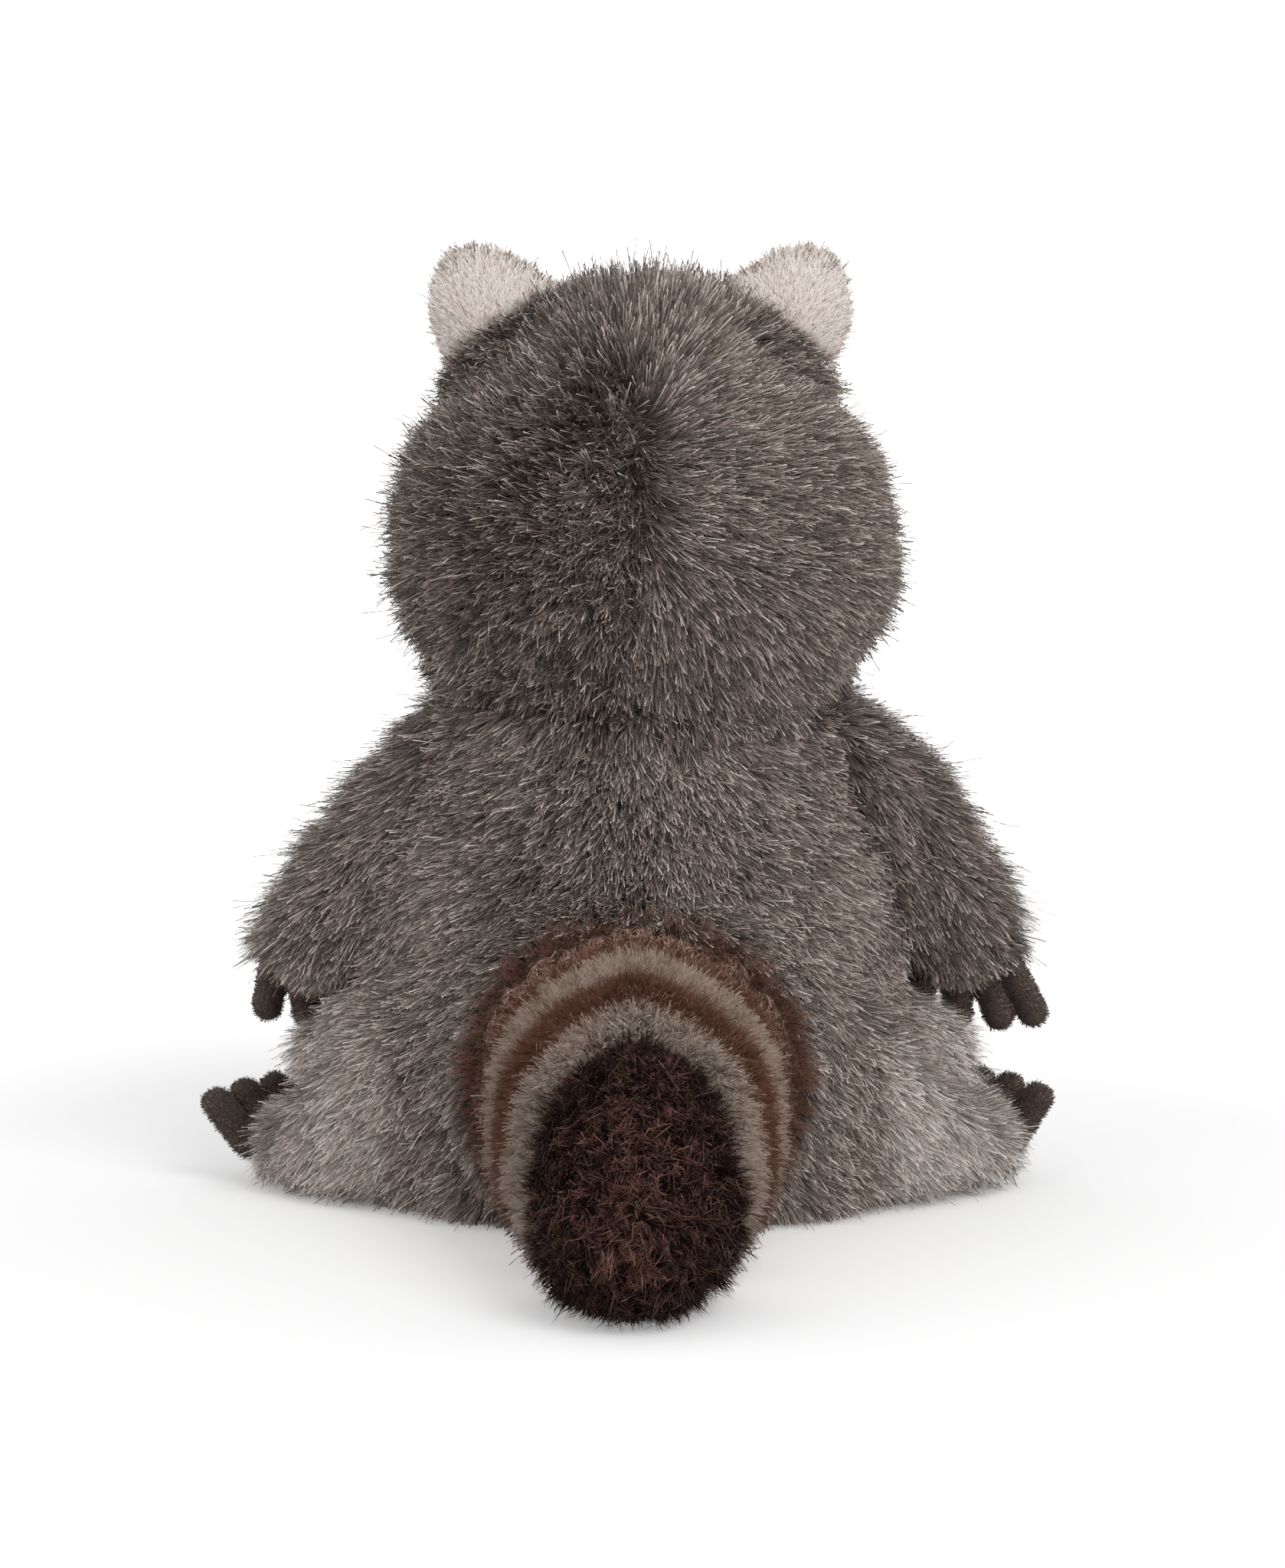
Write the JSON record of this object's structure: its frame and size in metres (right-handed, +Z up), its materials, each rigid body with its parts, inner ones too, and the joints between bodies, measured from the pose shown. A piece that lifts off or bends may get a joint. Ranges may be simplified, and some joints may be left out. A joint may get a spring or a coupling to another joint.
{
  "type": "plush_toy",
  "caption": "Sitting plush raccoon soft toy in grey-brown long pile, with pale ears, dark suede hands and feet, a dark eye mask and a thick ringed tail that rests on the floor behind it",
  "frame": {"origin": "middle of the flat seat, on the surface the toy sits on", "axes": "Z is up, the toy faces -Y with its tail towards +Y, and +X is its own left side"},
  "size_m": [0.2025, 0.2391, 0.2255],
  "materials": {
    "grey_plush": "matte long pile",
    "light_plush": "matte long pile",
    "belly_plush": "matte long pile",
    "cream_plush": "matte short pile",
    "brown_plush": "matte long pile",
    "dark_brown_plush": "matte long pile",
    "suede": "matte short nap",
    "eye_plastic": "polished",
    "washer_plastic": "moulded"
  },
  "bodies": {
    "root": {"torso": "grey_plush", "belly_panel": "belly_plush", "head": "grey_plush", "face_panel": "cream_plush", "mask_left": "dark_brown_plush", "mask_right": "dark_brown_plush", "muzzle": "cream_plush", "nose": "suede", "eye_left": "eye_plastic", "eye_right": "eye_plastic", "eye_washer_left": "washer_plastic", "eye_washer_right": "washer_plastic", "ear_back_left": "cream_plush", "ear_back_right": "cream_plush", "ear_lining_left": "light_plush", "ear_lining_right": "light_plush", "arm_left": "grey_plush", "arm_right": "grey_plush", "hand_left": "suede", "hand_right": "suede", "leg_left": "light_plush", "leg_right": "light_plush", "foot_left": "suede", "foot_right": "suede", "tail_band_1": "brown_plush", "tail_band_2": "light_plush", "tail_band_3": "brown_plush", "tail_band_4": "light_plush", "tail_tip": "dark_brown_plush"}
  },
  "joints": []
}
